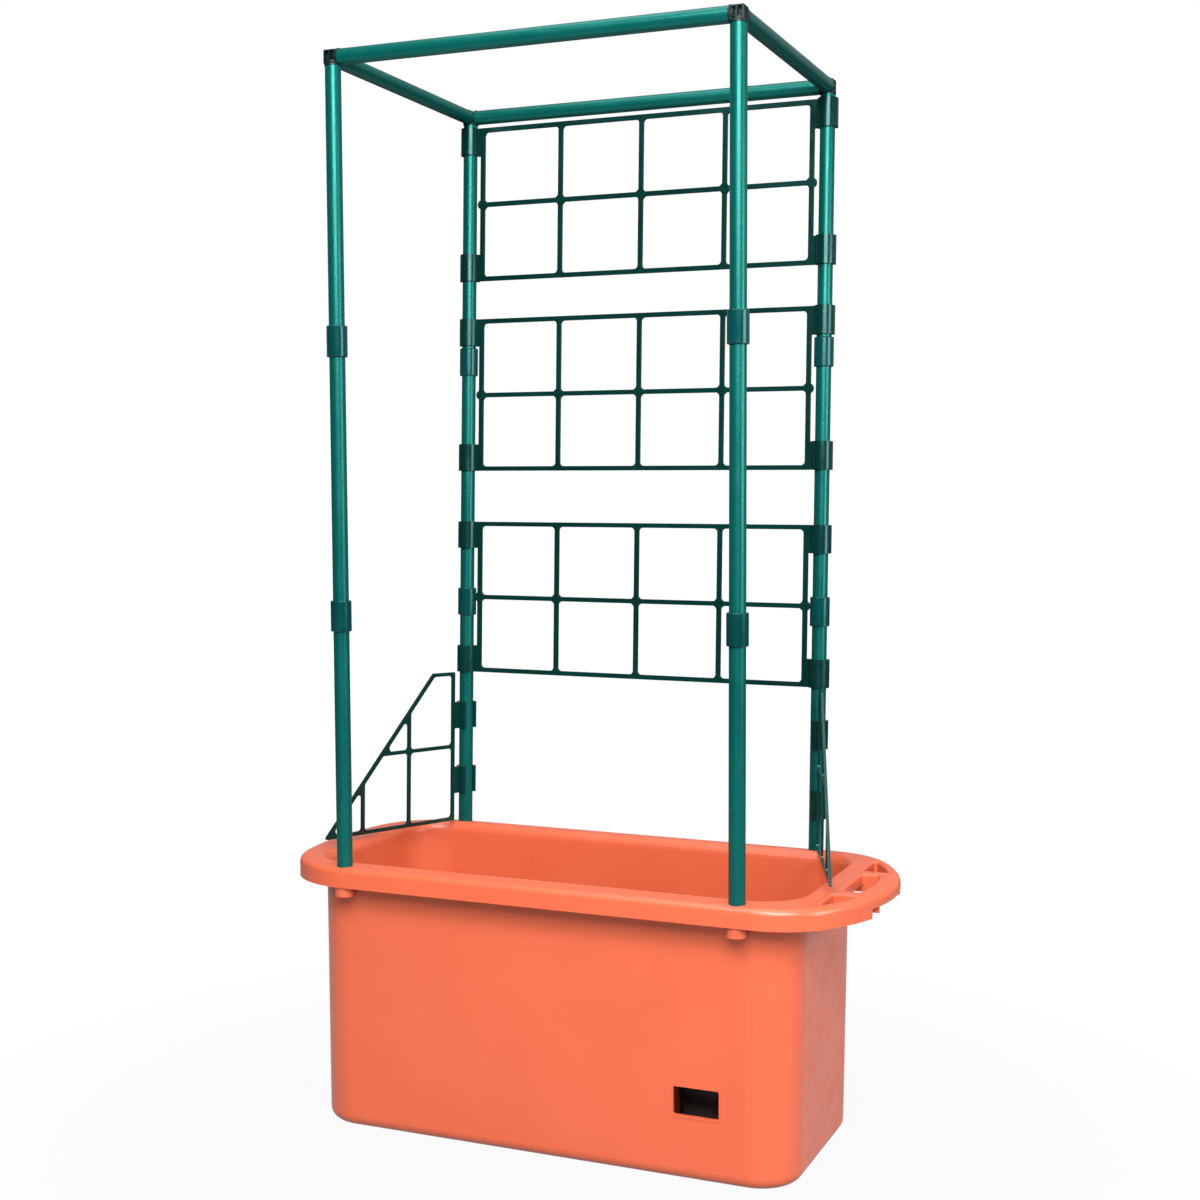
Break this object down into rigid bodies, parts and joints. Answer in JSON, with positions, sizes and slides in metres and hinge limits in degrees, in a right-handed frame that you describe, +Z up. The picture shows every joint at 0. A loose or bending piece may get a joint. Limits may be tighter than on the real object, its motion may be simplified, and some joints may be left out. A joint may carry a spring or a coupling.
{
  "type": "vertical planter",
  "caption": "Terracotta-coloured self-watering planter tub with a tall frame of green tubes, trellis panels clipped between the back posts and fan-shaped side panels.",
  "frame": {"origin": "middle of the tub's flat base, on the floor", "axes": "+Z up, +X along the tub's front towards the handle, +Y from the front to the trellis at the back"},
  "size_m": [0.7489, 0.3764, 1.3032],
  "materials": {
    "terracotta_plastic": "satin",
    "black_plastic": "matte",
    "coated_tube": "gloss",
    "coupler_plastic": "gloss",
    "connector_plastic": "satin",
    "panel_plastic": "satin"
  },
  "bodies": {
    "planter_frame": {"planter_tub": "terracotta_plastic", "soil_grate": "black_plastic", "front_left_lower_tube": "coated_tube", "front_left_middle_tube": "coated_tube", "front_left_upper_tube": "coated_tube", "front_right_lower_tube": "coated_tube", "front_right_middle_tube": "coated_tube", "front_right_upper_tube": "coated_tube", "back_left_lower_tube": "coated_tube", "back_left_middle_tube": "coated_tube", "back_left_upper_tube": "coated_tube", "back_right_lower_tube": "coated_tube", "back_right_middle_tube": "coated_tube", "back_right_upper_tube": "coated_tube", "top_front_tube": "coated_tube", "top_back_tube": "coated_tube", "top_left_tube": "coated_tube", "top_right_tube": "coated_tube", "front_left_lower_coupler": "coupler_plastic", "front_left_upper_coupler": "coupler_plastic", "front_right_lower_coupler": "coupler_plastic", "front_right_upper_coupler": "coupler_plastic", "back_left_lower_coupler": "coupler_plastic", "back_left_upper_coupler": "coupler_plastic", "back_right_lower_coupler": "coupler_plastic", "back_right_upper_coupler": "coupler_plastic", "front_left_connector": "connector_plastic", "front_right_connector": "connector_plastic", "back_left_connector": "connector_plastic", "back_right_connector": "connector_plastic"},
    "upper_trellis_body": {"upper_trellis": "panel_plastic"},
    "middle_trellis_body": {"middle_trellis": "panel_plastic"},
    "lower_trellis_body": {"lower_trellis": "panel_plastic"},
    "left_side_panel_body": {"left_side_panel": "panel_plastic"},
    "right_side_panel_body": {"right_side_panel": "panel_plastic"}
  },
  "joints": [
    {"name": "upper_trellis_slide", "type": "slide", "parent": "planter_frame", "child": "upper_trellis_body", "axis": [0, 0.019, 0.9998], "range_m": [-0.024, 0.003]},
    {"name": "middle_trellis_slide", "type": "slide", "parent": "planter_frame", "child": "middle_trellis_body", "axis": [0, 0.019, 0.9998], "range_m": [-0.003, 0.024]},
    {"name": "lower_trellis_slide", "type": "slide", "parent": "planter_frame", "child": "lower_trellis_body", "axis": [0, 0.019, 0.9998], "range_m": [-0.038, 0.038]},
    {"name": "left_side_panel_swing", "type": "hinge", "parent": "planter_frame", "child": "left_side_panel_body", "pos_m": [-0.25, 0.1598, 0.333], "axis": [0, -0.019, -0.9998], "range_deg": [-19.5, 70]},
    {"name": "right_side_panel_swing", "type": "hinge", "parent": "planter_frame", "child": "right_side_panel_body", "pos_m": [0.25, 0.1598, 0.333], "axis": [0, 0.019, 0.9998], "range_deg": [-19.5, 70]}
  ]
}
